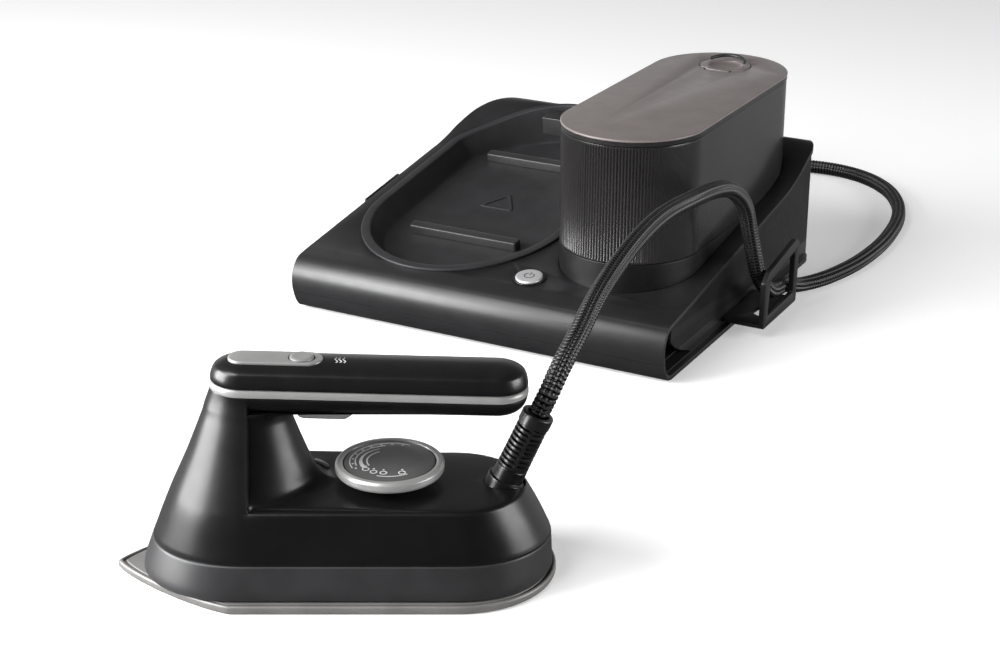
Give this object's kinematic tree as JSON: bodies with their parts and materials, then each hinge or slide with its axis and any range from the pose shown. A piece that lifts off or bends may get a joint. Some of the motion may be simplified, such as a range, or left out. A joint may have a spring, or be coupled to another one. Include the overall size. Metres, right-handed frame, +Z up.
{
  "type": "steam generator iron",
  "caption": "Compact steam iron with a side-joined handle, joined by a braided hose to a sloping station with an iron cradle and a lift-off water tank.",
  "frame": {"origin": "centre of the soleplate's flat working face, where the iron stands", "axes": "+Z up; -X towards the hand iron's nose; +Y from the hand iron towards the station behind it"},
  "size_m": [0.4961, 0.7152, 0.1445],
  "materials": {
    "satin_black": "satin",
    "gloss_black": "gloss",
    "charcoal": "satin",
    "skirt_grey": "satin",
    "silver_plastic": "satin",
    "sole_metal": "satin",
    "cast_metal": "matte",
    "steel": "satin",
    "smoked_plastic": "gloss",
    "lid_taupe": "satin",
    "rubber_black": "matte",
    "hose_braid": "matte",
    "circuit_green": "satin",
    "lens_white": "gloss",
    "tube_white": "matte"
  },
  "bodies": {
    "station": {"base_tray": "charcoal", "deck_shell": "charcoal", "foot_1": "rubber_black", "foot_2": "rubber_black", "foot_3": "rubber_black", "foot_4": "rubber_black", "cradle_pan": "charcoal", "rest_bar_front": "rubber_black", "rest_bar_rear": "rubber_black", "iron_latch": "satin_black", "power_bezel": "satin_black", "power_switch": "satin_black", "hose_clip": "charcoal", "cord_hook": "charcoal", "tank_dock": "charcoal", "valve_socket": "satin_black", "pump": "steel", "pump_mount": "rubber_black", "suction_tube": "tube_white", "station_board": "circuit_green", "station_gland": "rubber_black", "mains_gland": "rubber_black", "hose_run": "hose_braid", "hose_coil": "hose_braid", "hose_tail": "hose_braid"},
    "iron": {"soleplate": "sole_metal", "steam_chamber": "cast_metal", "heating_element": "steel", "chamber_cover": "steel", "thermostat": "steel", "iron_inlet_tube": "tube_white", "skirt": "skirt_grey", "body_shell": "satin_black", "indicator_lens": "lens_white", "handle_band": "silver_plastic", "handle_cover": "gloss_black", "control_pad": "silver_plastic", "button_switch": "satin_black", "control_board": "circuit_green", "trigger_switch": "satin_black", "trigger_spring": "steel", "dial_encoder": "satin_black", "hose_collar": "satin_black", "hose_boot": "rubber_black"},
    "dial": {"dial_ring": "silver_plastic", "dial_face": "gloss_black", "dial_shaft": "satin_black"},
    "trigger": {"trigger": "satin_black"},
    "steam_button": {"steam_button": "silver_plastic"},
    "power_button": {"power_button": "silver_plastic"},
    "tank": {"tank_shell": "smoked_plastic", "tank_lid": "lid_taupe", "tank_valve": "satin_black", "flap_pin": "steel"},
    "poppet": {"valve_poppet": "silver_plastic"},
    "flap": {"fill_flap": "lid_taupe", "flap_pull": "rubber_black"}
  },
  "joints": [
    {"name": "iron_lift", "type": "slide", "parent": "station", "child": "iron", "axis": [0, 0, 1], "range_m": [0, 0.06], "deforming": ["hose_run"]},
    {"name": "tank_lift", "type": "slide", "parent": "station", "child": "tank", "axis": [0, 0, 1], "range_m": [0, 0.06]},
    {"name": "valve_stroke", "type": "slide", "parent": "tank", "child": "poppet", "axis": [0, 0, 1], "range_m": [0, 0.003], "stiffness_N_per_m": 120},
    {"name": "flap_hinge", "type": "hinge", "parent": "tank", "child": "flap", "pos_m": [0.22838, 0.4362, 0.13835], "axis": [0.8805, -0.4741, 0], "range_deg": [0, 100]},
    {"name": "dial_turn", "type": "hinge", "parent": "iron", "child": "dial", "pos_m": [0.027, 0, 0.057], "axis": [0, 0, 1], "range_deg": [0, 270]},
    {"name": "trigger_stroke", "type": "slide", "parent": "iron", "child": "trigger", "axis": [0.0279, 0, 0.9996], "range_m": [0, 0.0025], "stiffness_N_per_m": 400, "deforming": ["trigger_spring"]},
    {"name": "steam_button_stroke", "type": "slide", "parent": "iron", "child": "steam_button", "axis": [-0.0279, 0, -0.9996], "range_m": [0, 0.0012], "stiffness_N_per_m": 600, "springref_m": -0.0006},
    {"name": "power_button_stroke", "type": "slide", "parent": "station", "child": "power_button", "axis": [0.0674, 0.1251, -0.9899], "range_m": [0, 0.0015], "stiffness_N_per_m": 600, "springref_m": -0.0006}
  ]
}
